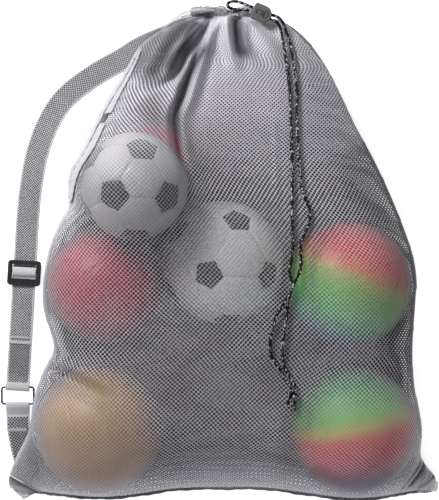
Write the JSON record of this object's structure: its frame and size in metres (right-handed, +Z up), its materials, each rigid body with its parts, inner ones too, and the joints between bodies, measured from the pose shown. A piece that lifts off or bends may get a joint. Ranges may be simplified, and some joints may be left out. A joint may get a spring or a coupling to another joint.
{
  "type": "mesh ball bag",
  "caption": "Net drawstring sack with a shoulder strap, slider, ring and corded mouth with a lock, lying on its back and filled with sports balls.",
  "frame": {"origin": "on the floor under the middle of the bag's bounding box, without the free drawcord and what is on it", "axes": "+Y from the sewn bottom to the drawn-up mouth, +X across the bag, away from the strap, +Z up from the back panel to the front panel"},
  "size_m": [0.7616, 0.8584, 0.3153],
  "materials": {
    "net": "cool grey polyester net, knitted with staggered round holes",
    "seam_tape": "light grey folded binding",
    "webbing": "grey open-weave webbing with rows of small holes",
    "thread": "grey stitching",
    "ring_metal": "black painted steel wire",
    "slider_plastic": "black moulded plastic, fine satin",
    "lock_plastic": "dark grey moulded plastic, matt",
    "lock_slide_plastic": "black moulded plastic",
    "cord_braid": "black braided cord with grey flecks",
    "soccer_skin": "white stitched panels with black pentagons",
    "red_rubber": "red moulded rubber, matt",
    "pink_rubber": "pink-red moulded rubber, matt",
    "yellow_rubber": "tan yellow moulded rubber, matt",
    "rainbow_rubber": "moulded rubber in bands of red, yellow, green, blue and purple",
    "valve_rubber": "black rubber valve"
  },
  "bodies": {
    "bag": {"mesh_front_panel": "net", "mesh_back_panel": "net", "hem_channel": "net", "side_seam_left": "seam_tape", "side_seam_right": "seam_tape", "bottom_seam": "seam_tape", "strap_webbing": "webbing", "corner_tab": "webbing", "corner_tab_stitching": "thread", "strap_anchor_patch": "thread", "drawcord_in_hem": "cord_braid", "drawcord_strand_left": "cord_braid", "drawcord_strand_right": "cord_braid", "drawcord_tail_long": "cord_braid", "drawcord_tail_short": "cord_braid", "drawcord_knot": "cord_braid", "ball_soccer_low": "soccer_skin", "ball_soccer_top": "soccer_skin", "ball_red": "red_rubber", "ball_pink": "pink_rubber", "ball_yellow": "yellow_rubber", "ball_rainbow_mid": "rainbow_rubber", "ball_rainbow_low": "rainbow_rubber", "valve_soccer_low": "valve_rubber", "valve_soccer_top": "valve_rubber", "valve_red": "valve_rubber", "valve_pink": "valve_rubber", "valve_yellow": "valve_rubber", "valve_rainbow_mid": "valve_rubber", "valve_rainbow_low": "valve_rubber"},
    "slider": {"strap_slider": "slider_plastic", "slider_webbing_end": "webbing", "slider_end_stitching": "thread"},
    "ring": {"strap_ring": "ring_metal"},
    "cord_lock": {"cord_lock_body": "lock_plastic"},
    "thumb_slide": {"cord_lock_thumb_slide": "lock_slide_plastic"}
  },
  "joints": [
    {"name": "slider_along_strap", "type": "slide", "parent": "bag", "child": "slider", "axis": [0.0589, 0.9983, 0], "range_m": [-0.04, 0.04]},
    {"name": "ring_in_tab", "type": "hinge", "parent": "bag", "child": "ring", "pos_m": [-0.3515, -0.2635, 0.0052], "axis": [1, 0, 0], "range_deg": [-3, 3]},
    {"name": "lock_along_cords", "type": "slide", "parent": "bag", "child": "cord_lock", "axis": [0.9303, -0.3668, 0], "range_m": [-0.007, 0.005]},
    {"name": "thumb_slide_release", "type": "slide", "parent": "cord_lock", "child": "thumb_slide", "axis": [-0.9303, 0.3668, 0], "range_m": [0, 0.0078]}
  ]
}
